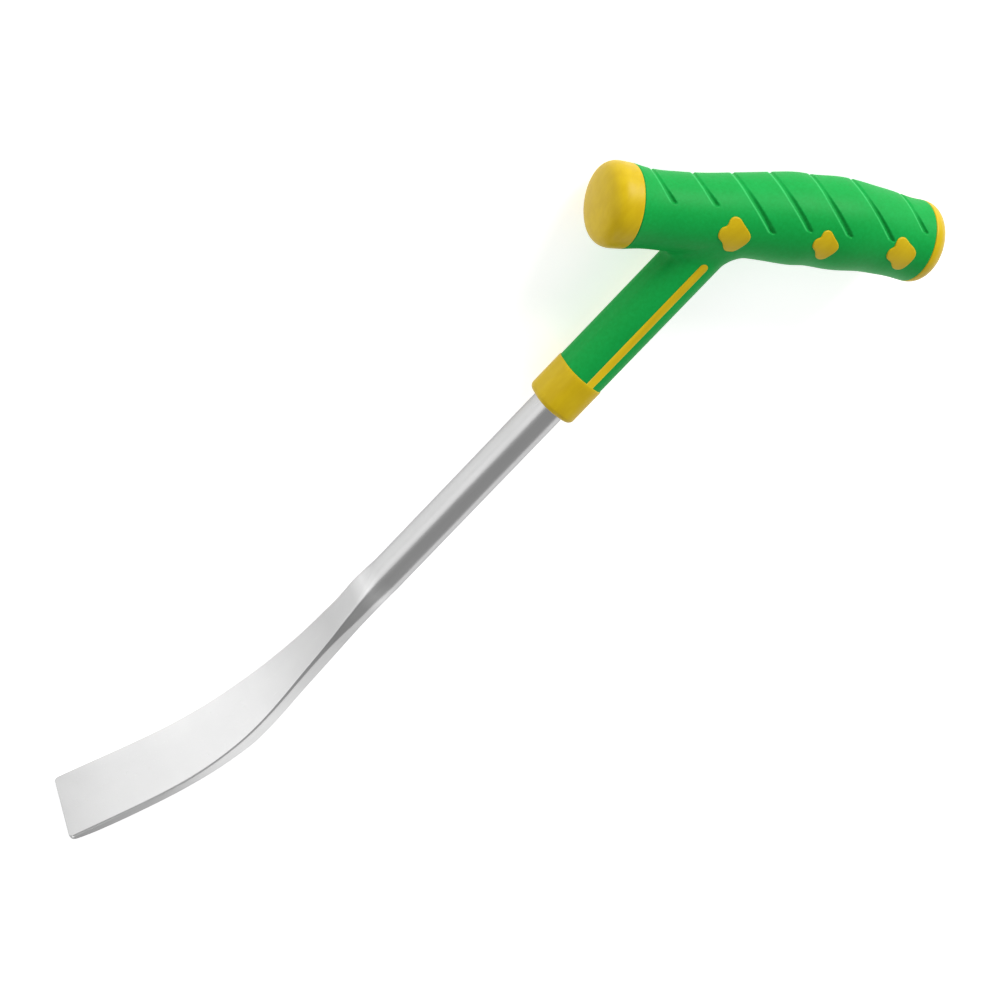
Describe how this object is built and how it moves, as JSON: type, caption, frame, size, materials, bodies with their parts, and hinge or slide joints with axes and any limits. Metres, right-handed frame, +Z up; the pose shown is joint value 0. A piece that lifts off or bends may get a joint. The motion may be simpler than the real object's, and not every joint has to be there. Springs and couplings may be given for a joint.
{
  "type": "hand weeder",
  "caption": "Hand weeder with a tilted crossbar grip, a round steel shaft and a curved blade that flares to a square tip.",
  "frame": {"origin": "centre of the bounding box in X and Y, on the surface the tool lies on in Z", "axes": "+X along the shaft from the blade to the handle, +Y across the shaft towards the thumb end of the crossbar, +Z up; the tool lies on its side and is symmetric about the horizontal plane through its shaft"},
  "size_m": [0.34, 0.1132, 0.0306],
  "materials": {
    "bright_steel": "satin polished bright steel",
    "pin_steel": "plain steel",
    "yellow_plastic": "fine satin moulding",
    "green_rubber": "soft matt moulded grip"
  },
  "bodies": {
    "root": {"blade_shaft": "bright_steel", "tang_pin": "pin_steel", "handle_core": "yellow_plastic", "grip_sleeve": "green_rubber", "thumb_cap": "yellow_plastic", "rear_cap": "yellow_plastic"}
  },
  "joints": []
}
